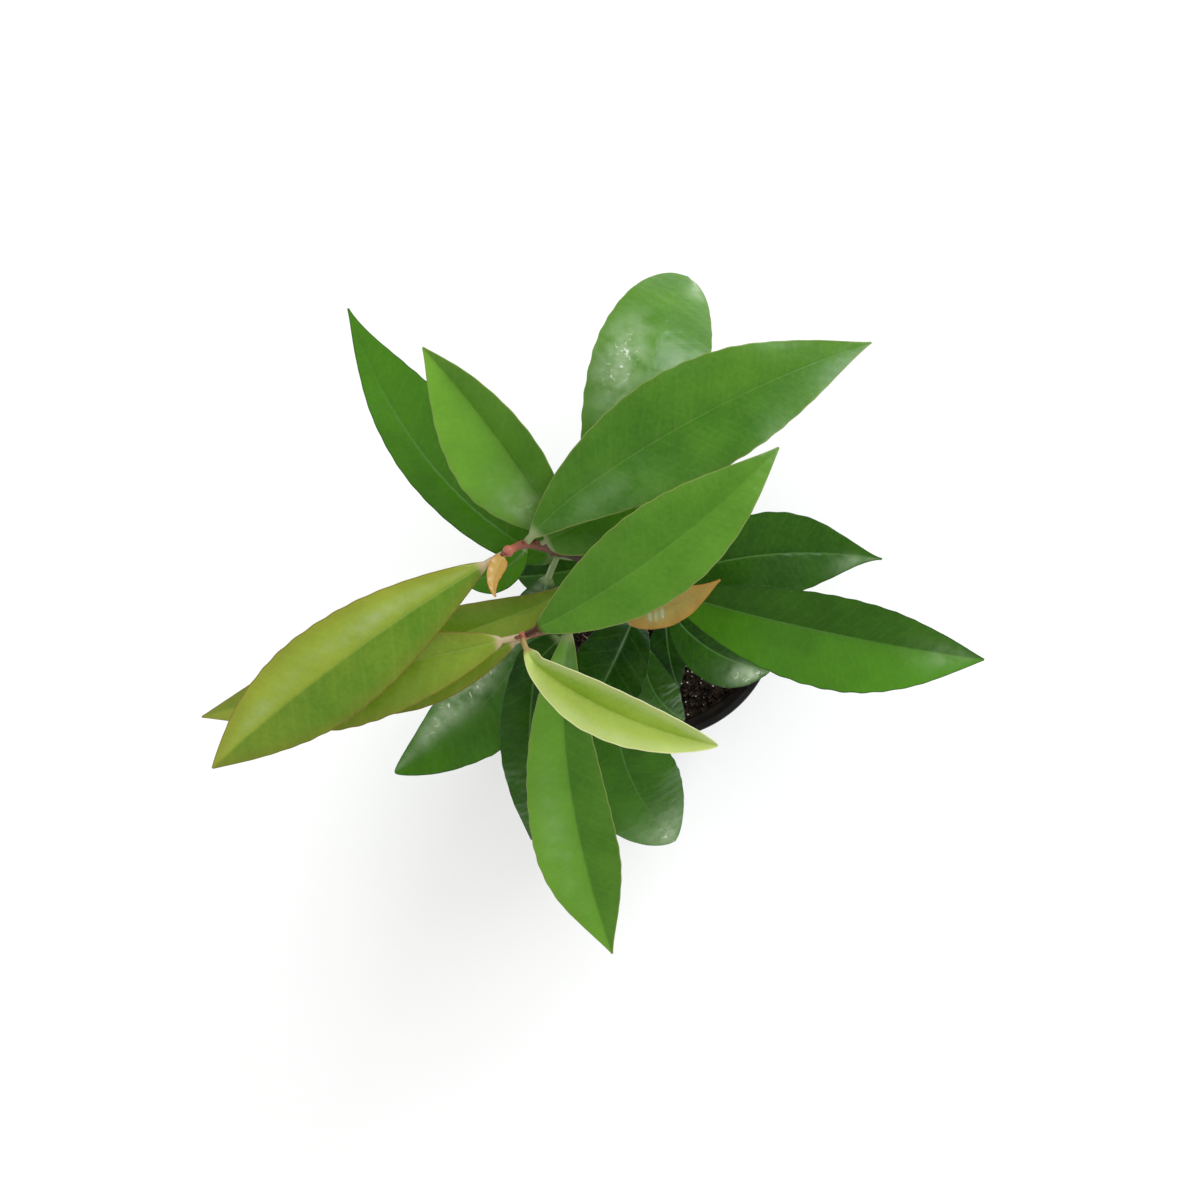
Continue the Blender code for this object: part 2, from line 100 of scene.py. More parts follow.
# Leaves, the same table as the solids', and how strongly the blade is puckered
Leaf = namedtuple("Leaf", "stem foot middle tip width stalk colour "
                          "widest full point left_share fold roll curl wave aim", defaults=(None,))
LEAVES = {
    "a1": Leaf("a", 260, (-111, -11, 266), (-164, -53, 243), 33, 8, "lime",
               0.53, 0.95, 1.0, 0.521, 14, -12, -10, 0.5),
    "a2": Leaf("a", 261, (-61.2, 15.5, 269), (-60.3, 8.6, 274), 5.4, 2, "bronze",
               0.3, 0.5, 1.2, 0.5, 20, 0, 0, 0.3),
    "a3": Leaf("a", 227, (-59, 62, 252), (-88, 98, 246), 32.2, 7, "green",
               0.45, 1.15, 1.1, 0.609, 26, -17, -8, 0.5),
    "a4": Leaf("a", 251, (5.5, 69, 263), (73, 100, 244), 40.5, 3, "green",
               0.48, 0.95, 1.15, 0.465, 18, -12, -8, 0.6, (-51.5, 30.5, 252)),
    "a5": Leaf("a", 224, (-85, 55.8, 234), (-120, 118, 208), 29.6, 8, "deep",
               0.42, 0.42, 1.3, 0.325, 14, 0, -6, 0.5, (-37, 19.5, 224.5)),
    "a6": Leaf("a", 234, (-62, -23.5, 185.5), (-107, -62, 166), 35.5, 13, "deep",
               0.525, 0.8, 0.8, 0.53, 12, 6, -6, 1.2, (-44, 24, 233)),
    "a7": Leaf("a", 249, (-59.5, 19, 238), (-74, 14, 231), 11.5, 2, "deep",
               0.6, 0.7, 0.8, 0.585, 10, 0, -6, 0.4),
    "a8": Leaf("a", 245, (-15, 42.5, 245), (17, 58, 228), 23, 2, "green",
               0.45, 0.45, 1.0, 0.42, 10, 0, -6, 0.5),
    "a9": Leaf("a", 218, (-102, -14, 236), (-176, -37, 205), 28, 10, "lime",
               0.5, 1.0, 1.1, 0.57, 12, 0, -6, 0.6, (-18, 16, 219)),
    "a10": Leaf("a", 212, (-43, 17.5, 205), (-56, 16.5, 199), 17, 2, "deep",
               0.5, 0.5, 0.8, 0.5, 8, 0, -6, 0.3),
    "b1": Leaf("b", 254, (-4, 23.5, 277), (37, 60, 272), 31, 5, "green",
               0.49, 0.9, 1.1, 0.52, 10, 0, -8, 0.5),
    "b2": Leaf("b", 254.9, (-24.5, -29.5, 260), (17.5, -44.3, 250), 23.5, 4, "young",
               0.45, 0.95, 0.8, 0.58, 34, 24, -6, 1.0, (-55, -8, 255)),
    "b3": Leaf("b", 254, (-104, -18, 253), (-156, -34, 230), 30, 7, "lime",
               0.55, 0.8, 1.0, 0.54, 18, -12, -6, 0.5),
    "b4": Leaf("b", 250, (-85, -21, 243), (-118, -34, 238), 18, 7, "lime",
               0.5, 0.8, 1.0, 0.45, 10, 0, -6, 0.4),
    "b5": Leaf("b", 232, (-36.5, -57, 218), (-19.7, -130.5, 187.5), 31.4, 3, "green",
               0.62, 0.85, 1.15, 0.46, 18, 8, -8, 0.6),
    "b6": Leaf("b", 215, (-51, -38, 208), (-52, -89, 165), 18.5, 16, "deep",
               0.42, 0.5, 1.05, 0.43, 10, 0, -6, 0.5, (-46, -8, 218)),
    "b7": Leaf("b", 163, (-18.9, -17.2, 172), (-34.7, -48.8, 155), 29, 4, "deep",
               0.5, 0.7, 1.0, 0.49, 10, 0, -6, 0.5),
    "b8": Leaf("b", 135, (-4, -26, 132), (12, -44, 112), 24, 15, "deep",
               0.48, 0.6, 0.85, 0.38, 10, 0, -6, 0.4),
    "b9": Leaf("b", 152, (-17, -48, 150), (8, -96.5, 112), 39, 8, "deep",
               0.68, 1.6, 0.6, 0.5, -4, 0, -12, 0.5),
    "c1": Leaf("c", 207.8, (2, 5.5, 217), (20, 15, 224), 13.5, 1, "bronze",
               0.43, 0.45, 1.4, 0.47, 22, 0, 0, 0.5),
    "c2": Leaf("c", 178, (54, -3, 196), (127, -16, 180), 36.8, 9, "deep",
               0.52, 0.85, 1.05, 0.43, 22, 12, -6, 0.6),
    "c3": Leaf("c", 170, (38, 25, 180), (89, 24, 165), 32, 9, "deep",
               0.46, 0.8, 1.5, 0.5, 10, 0, -6, 0.5),
    "c4": Leaf("c", 160, (-9, 75, 208), (10.5, 136.5, 172), 44, 10, "green",
               0.62, 0.4, 0.42, 0.51, -4, 0, -8, 0.6),
    "c5": Leaf("c", 125, (20, -12, 128), (49, -23, 112), 24, 7, "deep",
               0.52, 0.75, 0.9, 0.5, 8, 0, -6, 0.5),
    "c6": Leaf("c", 106, (5, -14, 112), (10, -31, 103), 15, 5, "deep",
               0.5, 1.1, 1.0, 0.4, 10, 0, -6, 0.3),
}

# Each leaf's tone from shaded (0) to sunlit (1) on its left and its right half, how much lighter it is painted
# towards the tip (its foot painted in shade), how deep the blade is puckered, where a painted whitish sheen lies
# (share along, share across, reach along and across, strength), and the colour of its stalk: 1 for its kind's, -1 for
# brown
Look = namedtuple("Look", "left right gain pucker films stalk", defaults=(0.05, (), 1))
LOOKS = {
    "a1": Look(0.30, 0.85, 0.15, 0.05, ((0.30, -0.40, 0.22, 0.20, 0.35), (0.75, -0.35, 0.12, 0.20, 0.25))),
    "a2": Look(0.60, 0.75, 0.0, 0.06),
    "a3": Look(0.80, 0.40, 0.3, 0.05, ((0.22, 0.40, 0.14, 0.45, 0.50),)),
    "a4": Look(0.30, 0.20, 0.2, 0.05, ((0.20, -0.50, 0.15, 0.50, 0.12), (0.90, 0.0, 0.08, 0.50, 0.12))),
    "a5": Look(0.72, 0.80, 0.1, 0.08),
    "a6": Look(0.55, 0.55, 0.4, 0.34, ((0.55, -0.55, 0.40, 0.40, 0.85),)),
    "a7": Look(0.85, 0.80, 0.0, 0.08),
    "a8": Look(0.35, 0.30, 0.0, 0.10),
    "a9": Look(0.65, 0.40, 0.3),
    "a10": Look(0.50, 0.20, -0.3),
    "b1": Look(0.38, 0.50, 0.1, 0.05, (), -1),
    "b2": Look(0.30, 0.95, 0.2, 0.07, ((0.50, -0.75, 0.25, 0.25, 0.30),)),
    "b3": Look(0.45, 0.45, -0.1),
    "b4": Look(0.45, 0.45, 0.0),
    "b5": Look(0.32, 0.80, 0.1, 0.06, ((0.60, -0.5, 0.20, 0.3, 0.15), (0.05, 0.0, 0.08, 0.8, 0.30))),
    "b6": Look(0.25, 0.25, 0.2, 0.08),
    "b7": Look(0.08, 0.15, 0.0, 0.08, ((0.25, 0.0, 0.20, 0.05, 0.35),)),
    "b8": Look(0.32, 0.42, 0.1, 0.16, ((0.62, -0.55, 0.15, 0.25, 0.60),)),
    "b9": Look(0.45, 0.55, 0.3, 0.10, ((0.97, 0.0, 0.13, 0.9, 0.60),)),
    "c1": Look(0.55, 0.75, 0.0, 0.12, ((0.26, -0.3, 0.018, 0.3, 1.6), (0.32, -0.3, 0.018, 0.3, 1.6),
                                      (0.38, -0.25, 0.018, 0.3, 1.6))),
    "c2": Look(0.45, 0.85, 0.3, 0.10, ((0.88, 0.0, 0.10, 0.6, 0.35),)),
    "c3": Look(0.35, 0.35, 0.2, 0.10, ((0.88, -0.5, 0.12, 0.5, 0.45),)),
    "c4": Look(0.40, 0.35, -0.1, 0.12, ((0.62, 0.5, 0.14, 0.40, 0.70), (0.58, -0.6, 0.12, 0.4, 0.40),
                                       (0.98, -0.5, 0.05, 0.4, 0.70))),
    "c5": Look(0.22, 0.32, 0.1, 0.20, ((0.80, -0.45, 0.18, 0.45, 0.85),)),
    "c6": Look(0.12, 0.04, 0.0),
}
BLADE_HALF_THICKNESS = 0.22
STALK_RADIUS = 0.35
STALK_RADIUS_PER_WIDTH = 0.024
RIB_DEPTH = 0.55
GROOVE_DEPTH = 0.22
RIB_HALF_WIDTH = 0.55
TIP_HALF_WIDTH = 0.3
WAVES_PER_LEAF = 4.5
STALK_BEND = 0.2
STALK_SINK = 0.9
STALK_STATIONS = 12
BLADE_STATIONS = 120
BLADE_COLUMNS = (0.0, 0.025, 0.05, 0.085, 0.13, 0.19, 0.27, 0.36, 0.46, 0.57, 0.68, 0.78, 0.87, 0.94, 0.98, 1.0)
VEIN_SPACING = 6.5
VEIN_LEAN = 0.62
VEIN_RELIEF = 0.07
EDGE_SCALLOP = 0.010
EDGE_SCALLOP_LENGTH = 8.0


def linear(hex_colour):
    """A linear colour with full alpha from an sRGB hex value."""
    parts = [int(hex_colour[k:k + 2], 16) / 255 for k in (1, 3, 5)]
    return (*[c / 12.92 if c <= 0.04045 else ((c + 0.055) / 1.055) ** 2.4 for c in parts], 1.0)


def add_node(tree, kind, settings=None, values=None, links=None):
    """Adds a shader node: settings are its own properties, values go on its sockets, links join its sockets."""
    node = tree.nodes.new(kind)
    for key, value in (settings or {}).items():
        setattr(node, key, value)
    for key, value in (values or {}).items():
        node.inputs[key].default_value = value
    for key, source in (links or {}).items():
        tree.links.new(source, node.inputs[key])
    return node


def plain_material(name, roughness, specular=0.5, coat=0.0, coat_roughness=0.1):
    """A material with an empty Principled shader, and its tree."""
    material = bpy.data.materials.new(name)
    material.use_nodes = True
    tree = material.node_tree
    shader = tree.nodes["Principled BSDF"]
    shader.inputs["Roughness"].default_value = roughness
    shader.inputs["Specular IOR Level"].default_value = specular
    shader.inputs["Coat Weight"].default_value = coat
    shader.inputs["Coat Roughness"].default_value = coat_roughness
    return material, tree, shader


def maths(tree, operation, first, second=None, third=None, clamp=False):
    """One Math node, whose inputs are numbers or sockets."""
    node = add_node(tree, "ShaderNodeMath", {"operation": operation, "use_clamp": clamp})
    for k, value in enumerate((first, second, third)):
        if value is None:
            continue
        if isinstance(value, (int, float)):
            node.inputs[k].default_value = value
        else:
            tree.links.new(value, node.inputs[k])
    return node.outputs[0]


def mixed(tree, share, first, second):
    """A colour mix of two colours or sockets by a share."""
    node = add_node(tree, "ShaderNodeMix", {"data_type": "RGBA"})
    for k, value in ((0, share), (6, first), (7, second)):
        if isinstance(value, (int, float, tuple)):
            node.inputs[k].default_value = value
        else:
            tree.links.new(value, node.inputs[k])
    return node.outputs[2]


def band(tree, value, low, high):
    """Smoothly 0 under low and 1 over high, or the other way round where low is the larger."""
    node = add_node(tree, "ShaderNodeMapRange", {"interpolation_type": "SMOOTHSTEP"},
                    {"From Min": low, "From Max": high}, {"Value": value})
    return node.outputs[0]


def noise(tree, vector, size_mm, detail=3.0, roughness=0.5):
    """Soft noise whose lumps are about size_mm across, on coordinates in metres."""
    node = add_node(tree, "ShaderNodeTexNoise", None,
                    {"Scale": 1.0 / (size_mm * MM), "Detail": detail, "Roughness": roughness}, {"Vector": vector})
    return node.outputs["Fac"]


# What each kind of leaf looks like: its shaded and its sunlit green, the midrib, the margin, the underside and
# the stalk, how clearly midrib and side veins show, how much of the margin's colour reaches 5 mm inwards, the
# roughness of the wax and the depth of the fine bump
Skin = namedtuple("Skin", "shaded sunlit midrib margin under stalk rib_share vein_share halo roughness bump")
SKINS = {
    "lime": Skin("#3f7204", "#98aa30", "#9cb45c", "#7a5a20", "#8fa05a", "#b3a07c", 0.22, 0.05, 0.22, 0.34, 0.12),
    "green": Skin("#2c6004", "#689e26", "#7fa44e", "#7c8a44", "#7f9a5a", "#8a9868", 0.16, 0.05, 0.06, 0.32, 0.14),
    "deep": Skin("#0a3200", "#488010", "#6a9350", "#1a4206", "#5f8048", "#7b8f5c", 0.40, 0.06, 0.00, 0.27, 0.20),
    "young": Skin("#648a02", "#b2cc52", "#a8c050", "#e4dfae", "#b8c878", "#a08a50", 0.25, 0.05, 0.22, 0.34, 0.12),
    "bronze": Skin("#84701c", "#bfa862", "#c2a258", "#b4742c", "#a88a4c", "#8a5a3a", 0.35, 0.06, 0.35, 0.27, 0.25),
}
BROWN_STALK = "#4c2a18"
# Painted light on the leaves: a whitish sheen and bright glints, laid into the colour where the wax would mirror the
# window
PAINTED_SHEEN = "#b2c4a2"
GLINT = "#e4ecd8"


def leaf_skin(name, skin):
    """Waxy cuticle over green flesh: a smooth satin skin, with faint slanting side veins.

    The colour runs from the shaded to the sunlit green by the leaf's own tone and slow noise, goes whitish where
    a painted sheen lies, with thin painted glints in its strongest parts, pales a little along the midrib and
    turns to the margin's colour in the last third of a millimetre. The stalk's colour fades out at the foot of
    the blade.
    """
    material, tree, shader = plain_material(f"leaf_skin_{name}", skin.roughness, 0.35)
    place = add_node(tree, "ShaderNodeAttribute", {"attribute_name": "place"})
    parts = add_node(tree, "ShaderNodeSeparateXYZ", None, None, {"Vector": place.outputs["Vector"]})
    across, along, edge = parts.outputs[0], parts.outputs[1], parts.outputs[2]
    tint = add_node(tree, "ShaderNodeAttribute", {"attribute_name": "tint"})
    tints = add_node(tree, "ShaderNodeSeparateXYZ", None, None, {"Vector": tint.outputs["Vector"]})
    tone, painted_sheen_amount, stalk = tints.outputs[0], tints.outputs[1], tints.outputs[2]
    where = add_node(tree, "ShaderNodeTexCoord").outputs["Object"]
    from_rib = maths(tree, "ABSOLUTE", across)

    slant = maths(tree, "MULTIPLY", from_rib, VEIN_LEAN)
    wander = maths(tree, "MULTIPLY", noise(tree, where, 9.0, 2.0), 0.5)
    turns = maths(tree, "ADD", maths(tree, "DIVIDE", maths(tree, "SUBTRACT", along, slant), VEIN_SPACING), wander)
    from_vein = maths(tree, "ABSOLUTE", maths(tree, "SUBTRACT", maths(tree, "FRACT", turns), 0.5))
    vein = band(tree, from_vein, 0.11, 0.0)
    drift = noise(tree, where, 17.0, 2.0)
    mottle = noise(tree, where, 1.6, 4.0)

    share = maths(tree, "ADD", tone, maths(tree, "MULTIPLY_ADD", drift, 0.5, -0.25))
    share = maths(tree, "ADD", share, maths(tree, "MULTIPLY_ADD", mottle, 0.30, -0.15), clamp=True)
    flesh = mixed(tree, share, linear(skin.shaded), linear(skin.sunlit))
    flesh = mixed(tree, maths(tree, "MULTIPLY", band(tree, edge, 6.0, 0.5), skin.halo), flesh, linear(skin.margin))
    # painted sheen: a whitish colour laid over the tone in patches, standing for the window mirrored in the wax
    painted_sheen_mask = maths(tree, "MULTIPLY", painted_sheen_amount, band(tree, noise(tree, where, 7.0, 3.0), 0.15, 0.75))
    flesh = mixed(tree, painted_sheen_mask, flesh, linear(PAINTED_SHEEN))
    # painted glints: thin bright lines where the painted sheen is strongest, standing for light mirrored by crinkles
    glint_ridge = maths(tree, "ABSOLUTE", maths(tree, "SUBTRACT", noise(tree, where, 5.0, 2.0), 0.5))
    glint = maths(tree, "MULTIPLY", band(tree, glint_ridge, 0.045, 0.0), band(tree, noise(tree, where, 3.0), 0.50, 0.62))
    glint = maths(tree, "MULTIPLY", glint, band(tree, painted_sheen_amount, 0.35, 0.75))
    flesh = mixed(tree, glint, flesh, linear(GLINT))
    flesh = mixed(tree, maths(tree, "MULTIPLY", vein, skin.vein_share), flesh, linear(skin.midrib))
    rib = maths(tree, "MULTIPLY", band(tree, from_rib, 0.60, 0.10), band(tree, along, 130.0, 40.0))
    flesh = mixed(tree, maths(tree, "MULTIPLY", rib, skin.rib_share), flesh, linear(skin.midrib))
    flesh = mixed(tree, maths(tree, "MULTIPLY", band(tree, edge, 0.40, 0.10), 0.7), flesh, linear(skin.margin))
    flesh = mixed(tree, band(tree, stalk, 0.0, 0.8), flesh, linear(skin.stalk))
    flesh = mixed(tree, band(tree, stalk, 0.0, -0.8), flesh, linear(BROWN_STALK))
    tree.links.new(flesh, shader.inputs["Base Color"])

    height = maths(tree, "MULTIPLY", mottle, 0.10)
    height = maths(tree, "SUBTRACT", height, maths(tree, "MULTIPLY", vein, 0.10))
    height = maths(tree, "ADD", height, maths(tree, "MULTIPLY", noise(tree, where, 4.5, 2.0), 0.35))
    bump = add_node(tree, "ShaderNodeBump", None, {"Strength": 1.0, "Distance": skin.bump * MM}, {"Height": height})
    tree.links.new(bump.outputs[0], shader.inputs["Normal"])
    return material


def leaf_underside(name, skin):
    """The matt lower face: paler and greyer than the top, with the same drift."""
    material, tree, shader = plain_material(f"leaf_under_{name}", 0.6, 0.35)
    place = add_node(tree, "ShaderNodeAttribute", {"attribute_name": "place"})
    parts = add_node(tree, "ShaderNodeSeparateXYZ", None, None, {"Vector": place.outputs["Vector"]})
    tint = add_node(tree, "ShaderNodeAttribute", {"attribute_name": "tint"})
    stalk = add_node(tree, "ShaderNodeSeparateXYZ", None, None, {"Vector": tint.outputs["Vector"]}).outputs[2]
    where = add_node(tree, "ShaderNodeTexCoord").outputs["Object"]
    drift = maths(tree, "MULTIPLY", band(tree, noise(tree, where, 14.0), 0.3, 0.7), 0.3)
    rib = maths(tree, "MULTIPLY", band(tree, maths(tree, "ABSOLUTE", parts.outputs[0]), 1.0, 0.4), 0.5)
    flesh = mixed(tree, drift, linear(skin.under), linear(skin.sunlit))
    flesh = mixed(tree, rib, flesh, linear(skin.midrib))
    flesh = mixed(tree, band(tree, stalk, 0.0, 0.8), flesh, linear(skin.stalk))
    flesh = mixed(tree, band(tree, stalk, 0.0, -0.8), flesh, linear(BROWN_STALK))
    tree.links.new(flesh, shader.inputs["Base Color"])
    return material


# Old bark, young bark under the bud, the bud, and the roughness of the skin
Bark = namedtuple("Bark", "old young bud spot roughness")
BARKS = {
    "bark": Bark("#4a3c2a", "#3c1e10", "#a8604c", "#6e5c44", 0.5),
    "green_bark": Bark("#4e4c2c", "#3e5020", "#7a6a34", "#6f6848", 0.5),
}


def stem_skin(name, bark):
    """Thin bark of a woody shoot: grey-brown and corky below, dark and smooth under the bud, pinkish on the bud."""
    material, tree, shader = plain_material(f"stem_{name}", bark.roughness, 0.4)
    age = add_node(tree, "ShaderNodeAttribute", {"attribute_name": "age"}).outputs["Fac"]
    where = add_node(tree, "ShaderNodeTexCoord").outputs["Object"]
    stretched = add_node(tree, "ShaderNodeMapping", {"vector_type": "POINT"}, {"Scale": (1.0, 1.0, 0.25)},
                         {"Vector": where}).outputs[0]
    streak = noise(tree, stretched, 0.8, 4.0)
    corky = noise(tree, where, 1.3, 5.0, 0.6)
    skin = mixed(tree, band(tree, age, 0.30, 0.75), linear(bark.old), linear(bark.young))
    dry = maths(tree, "MULTIPLY", band(tree, streak, 0.50, 0.75), band(tree, age, 0.85, 0.55))
    skin = mixed(tree, maths(tree, "MULTIPLY", dry, 0.5), skin, linear(bark.spot))
    skin = mixed(tree, maths(tree, "MULTIPLY", band(tree, age, 0.80, 0.97), 0.55), skin, linear(bark.bud))
    skin = mixed(tree, band(tree, age, 0.965, 0.985), skin, linear(bark.bud))
    tree.links.new(skin, shader.inputs["Base Color"])
    bump = add_node(tree, "ShaderNodeBump", None, {"Strength": 0.5, "Distance": 0.25 * MM}, {"Height": corky})
    tree.links.new(bump.outputs[0], shader.inputs["Normal"])
    return material


def peat_skin():
    """Moist peat: nearly black brown, dull and crumbly, with lighter dry specks."""
    material, tree, shader = plain_material("peat", 0.95, 0.25)
    where = add_node(tree, "ShaderNodeTexCoord").outputs["Object"]
    clod = noise(tree, where, 3.0, 5.0, 0.65)
    speck = noise(tree, where, 0.7, 3.0)
    earth = mixed(tree, band(tree, clod, 0.38, 0.68), linear("#0b0703"), linear("#33231a"))
    earth = mixed(tree, maths(tree, "MULTIPLY", band(tree, speck, 0.58, 0.70), 0.7), earth, linear("#6a5644"))
    tree.links.new(earth, shader.inputs["Base Color"])
    height = maths(tree, "ADD", clod, maths(tree, "MULTIPLY", speck, 0.4))
    bump = add_node(tree, "ShaderNodeBump", None, {"Strength": 1.0, "Distance": 1.0 * MM}, {"Height": height})
    tree.links.new(bump.outputs[0], shader.inputs["Normal"])
    return material


def speckled_skin(name, dark, light, size_mm, roughness):
    """A dull two-tone material for loose bits in the peat."""
    material, tree, shader = plain_material(name, roughness, 0.3)
    where = add_node(tree, "ShaderNodeTexCoord").outputs["Object"]
    tone = mixed(tree, band(tree, noise(tree, where, size_mm), 0.35, 0.65), linear(dark), linear(light))
    tree.links.new(tone, shader.inputs["Base Color"])
    return material


def pot_skin():
    """Injection moulded black polypropylene: satin, faintly cloudy, with peat dust inside and near the soil."""
    material, tree, shader = plain_material("black_polypropylene", 0.38, 0.5)
    where = add_node(tree, "ShaderNodeTexCoord").outputs["Object"]
    dusty = add_node(tree, "ShaderNodeAttribute", {"attribute_name": "dust"}).outputs["Fac"]
    cloud = noise(tree, where, 12.0, 4.0)
    grain = noise(tree, where, 0.5, 2.0)
    dust = maths(tree, "MULTIPLY", dusty, band(tree, noise(tree, where, 2.2, 5.0, 0.65), 0.42, 0.62))
    plastic = mixed(tree, band(tree, cloud, 0.3, 0.7), linear("#141414"), linear("#1d1d1e"))
    plastic = mixed(tree, maths(tree, "MULTIPLY", dust, 0.8), plastic, linear("#4a3a2c"))
    tree.links.new(plastic, shader.inputs["Base Color"])
    sheen = maths(tree, "ADD", maths(tree, "MULTIPLY", dust, 0.4), maths(tree, "MULTIPLY_ADD", cloud, 0.12, 0.30))
    tree.links.new(sheen, shader.inputs["Roughness"])
    bump = add_node(tree, "ShaderNodeBump", None, {"Strength": 0.25, "Distance": 0.1 * MM}, {"Height": grain})
    tree.links.new(bump.outputs[0], shader.inputs["Normal"])
    return material


def tube_faces(rows, around):
    """Quads of a grid of rings that closes on itself round each ring."""
    row, spot = np.meshgrid(np.arange(rows - 1), np.arange(around), indexing="ij")
    a = row * around + spot
    b = row * around + (spot + 1) % around
    return np.stack([a, a + around, b + around, b], axis=-1).reshape(-1, 4)


def add_piece(name, rings, materials, values=None, face_materials=None, replaced=()):
    """A closed piece from a list of ring grids in millimetres, each capped by a face at both ends.

    values holds named numbers or vectors for every point, and face_materials the material of each ring's quads.
    """
    points, faces, indices, start = [], [], [], 0
    for grid in rings:
        rows, around = grid.shape[:2]
        points.append(grid.reshape(-1, 3))
        quads = tube_faces(rows, around) + start
        faces.extend(quads.tolist())
        faces.append(list(range(start, start + around)))
        last = start + (rows - 1) * around
        faces.append(list(range(last + around - 1, last - 1, -1)))
        kinds = np.zeros((rows - 1, around), dtype=int) if face_materials is None else face_materials
        indices.extend(np.broadcast_to(kinds, (rows - 1, around)).ravel().tolist() + [0, 0])
        start += rows * around
    mesh = bpy.data.meshes.new(name)
    mesh.from_pydata((np.vstack(points) * MM).tolist(), [], faces)
    for material in materials:
        mesh.materials.append(material)
    mesh.polygons.foreach_set("material_index", indices)
    for key, numbers in (values or {}).items():
        numbers = np.asarray(numbers, dtype=np.float32)
        kind, slot_name = ("FLOAT_VECTOR", "vector") if numbers.ndim == 2 else ("FLOAT", "value")
        layer = mesh.attributes.new(key, kind, "POINT")
        layer.data.foreach_set(slot_name, numbers.ravel())
    mesh.shade_smooth()
    piece = bpy.data.objects.new(name, mesh)
    bpy.context.scene.collection.objects.link(piece)
    settle(piece, replaced)
    return piece


def settle(piece, replaced=()):
    """Rides a finished piece on the part's one body, and hides the solids that it stands for."""
    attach(piece, "root")
    if replaced:
        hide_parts(*replaced)


def unit(vectors):
    return vectors / np.linalg.norm(vectors, axis=-1, keepdims=True)


def evenly_spaced(dense, shares):
    """Points of a dense polyline at the given shares of its length."""
    length = np.concatenate([[0.0], np.cumsum(np.linalg.norm(np.diff(dense, axis=0), axis=1))])
    return np.stack([np.interp(shares * length[-1], length, dense[:, axis]) for axis in range(3)], axis=1)


def smooth_path(points, count):
    """Evenly spaced points on a Catmull-Rom curve through the given ones."""
    points = np.asarray(points, dtype=float)
    ends = np.vstack([2 * points[0] - points[1], points, 2 * points[-1] - points[-2]])
    t = np.linspace(0.0, 1.0, 24, endpoint=False)[:, None]
    spans = []
    for p0, p1, p2, p3 in zip(ends, ends[1:], ends[2:], ends[3:]):
        spans.append(0.5 * (2 * p1 + (p2 - p0) * t + (2 * p0 - 5 * p1 + 4 * p2 - p3) * t ** 2
                            + (3 * p1 - p0 - 3 * p2 + p3) * t ** 3))
    dense = np.vstack(spans + [points[-1:]])
    return evenly_spaced(dense, np.linspace(0.0, 1.0, count))


def carried(line, radius, sides, start_side=(0.0, 1.0, 0.0)):
    """Round rings of the given radius, carried along a line and square to it."""
    along = unit(np.gradient(line, axis=0))
    side = unit(np.cross(along, np.asarray(start_side)))
    across = np.cross(along, side)
    turn = np.arange(sides) * 2 * math.pi / sides
    spoke = np.cos(turn)[None, :, None] * side[:, None] - np.sin(turn)[None, :, None] * across[:, None]
    return line[:, None] + np.broadcast_to(radius, (len(line), sides))[..., None] * spoke


def stem_line(stem):
    """Dense middle line of a stem with its radius, from the soil's hole to the bud."""
    buried = np.array([stem.path[0]], dtype=float) - UP * (STEM_HOLE_DEPTH - SEAT_GAP)
    line = smooth_path(stem.path, 200)
    share = np.linspace(0.0, 1.0, 200)
    radius = stem.base_radius + (stem.top_radius - stem.base_radius) * share
    length = np.concatenate([[0.0], np.cumsum(np.linalg.norm(np.diff(line, axis=0), axis=1))])
    from_end = (length[-1] - length) / stem.bud_length
    bud = np.clip(1.0 - from_end, 0.0, 1.0)
    radius = radius + (stem.bud_radius - stem.top_radius) * np.sin(math.pi * bud) ** 2
    radius = radius * np.sqrt(np.clip(from_end / 0.45, 0.0, 1.0))
    return np.vstack([buried, line]), np.concatenate([[stem.base_radius], radius])


def stem_at(stem, height):
    """Middle, direction and radius of a stem at a height."""
    line, radius = stem_line(stem)
    middle = np.array([np.interp(height, line[:, 2], line[:, axis]) for axis in range(3)])
    along = np.array([np.interp(height, line[:, 2], np.gradient(line[:, axis])) for axis in range(3)])
    return middle, unit(along), float(np.interp(height, line[:, 2], radius))


def midrib(leaf, stalk_radius, shares):
    """The midrib's points, and its length.

    It is a parabola from the aim, or from the stem, through the middle point to the tip. Its first stretch
    bends back to the foot on the stem's surface, by the square of what is left of that stretch.
    """
    root, along, stem_radius = stem_at(STEMS[leaf.stem], leaf.foot)
    aim = root if leaf.aim is None else np.array(leaf.aim, dtype=float)
    middle, tip = np.array(leaf.middle, dtype=float), np.array(leaf.tip, dtype=float)
    control = 2 * middle - 0.5 * (aim + tip)
    heading = unit((control - aim) - (root - aim) / STALK_BEND)
    outward = unit(heading - along * heading.dot(along))
    lean = math.sqrt(max(0.0, 1.0 - heading.dot(outward) ** 2))
    foot = root + outward * (stem_radius + SEAT_GAP + stalk_radius * lean - STALK_SINK)
    t = np.linspace(0.0, 1.0, 240)[:, None]
    dense = aim * (1 - t) ** 2 + 2 * control * t * (1 - t) + tip * t ** 2
    dense += (foot - aim) * np.clip(1 - t / STALK_BEND, 0.0, 1.0) ** 2
    span = np.linalg.norm(np.diff(dense, axis=0), axis=1).sum()
    return evenly_spaced(dense, shares(span)), span


